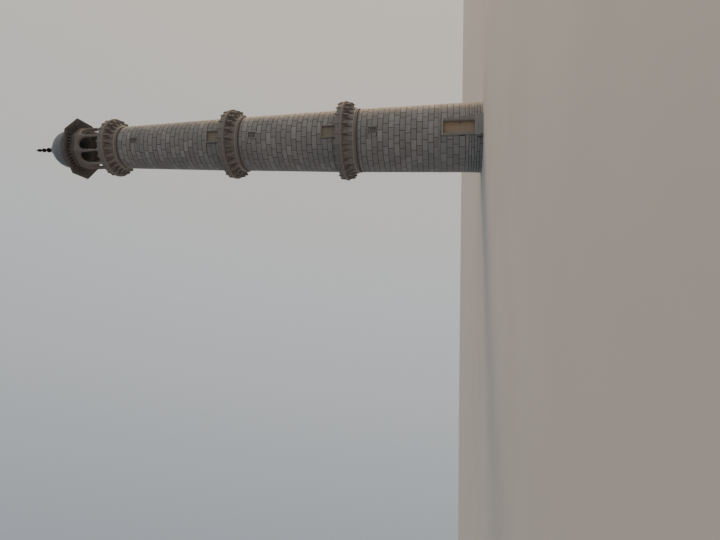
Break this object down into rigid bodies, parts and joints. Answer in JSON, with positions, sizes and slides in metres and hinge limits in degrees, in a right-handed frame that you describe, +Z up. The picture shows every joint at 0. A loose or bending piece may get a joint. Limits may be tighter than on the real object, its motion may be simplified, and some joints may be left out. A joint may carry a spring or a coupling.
{
  "type": "scale model of a domed stone minaret",
  "caption": "Half-size model of a tapering round stone minaret with bracketed balconies, a domed open pavilion on top and a hinged door at its foot.",
  "frame": {"origin": "centre of the tower's foot, at ground level", "axes": "+Z up along the tower's axis; -Y towards the ground door; +X to the right of the door seen from outside"},
  "size_m": [3.32, 3.38, 20.69],
  "materials": {
    "tower_stone": "weathered coursed stone blocks with thin dark joints",
    "pale_stone": "smooth dressed pale stone",
    "balcony_stone": "weathered carved stone, browner than the shaft",
    "dome_stone": "blue-grey weathered stone",
    "door_boards": "tan-brown upright boards",
    "dark_metal": "blackened metal"
  },
  "bodies": {
    "tower": {"foot_wall_right": "tower_stone", "foot_wall_back": "tower_stone", "foot_wall_left": "tower_stone", "ground_floor": "tower_stone", "belt_course": "pale_stone", "doorstep": "pale_stone", "door_surround": "pale_stone", "storey_1_wall_front": "tower_stone", "storey_1_wall_right": "tower_stone", "storey_1_wall_back": "tower_stone", "storey_1_wall_left": "tower_stone", "balcony_1_brackets": "balcony_stone", "balcony_1_floor": "balcony_stone", "balcony_1_parapet": "balcony_stone", "storey_2_wall_front": "tower_stone", "storey_2_wall_right": "tower_stone", "storey_2_wall_back": "tower_stone", "storey_2_wall_left": "tower_stone", "balcony_2_brackets": "balcony_stone", "balcony_2_floor": "balcony_stone", "balcony_2_parapet": "balcony_stone", "storey_3_wall_front": "tower_stone", "storey_3_wall_right": "tower_stone", "storey_3_wall_back": "tower_stone", "storey_3_wall_left": "tower_stone", "balcony_3_brackets": "balcony_stone", "balcony_3_floor": "balcony_stone", "balcony_3_parapet": "balcony_stone", "balcony_1_door_frame": "pale_stone", "balcony_1_door": "door_boards", "balcony_2_door_frame": "pale_stone", "balcony_2_door": "door_boards", "pavilion_column_1": "dome_stone", "pavilion_column_2": "dome_stone", "pavilion_column_3": "dome_stone", "pavilion_column_4": "dome_stone", "pavilion_column_5": "dome_stone", "pavilion_column_6": "dome_stone", "pavilion_column_7": "dome_stone", "pavilion_column_8": "dome_stone", "pavilion_arcade": "dome_stone", "pavilion_eave": "balcony_stone", "dome": "dome_stone", "finial": "dark_metal"},
    "ground_door": {"ground_door_leaf": "door_boards"}
  },
  "joints": [
    {"name": "ground_door_hinge", "type": "hinge", "parent": "tower", "child": "ground_door", "pos_m": [-0.24, -1.239, 0.315], "axis": [0, 0, 1], "range_deg": [0, 90]}
  ]
}
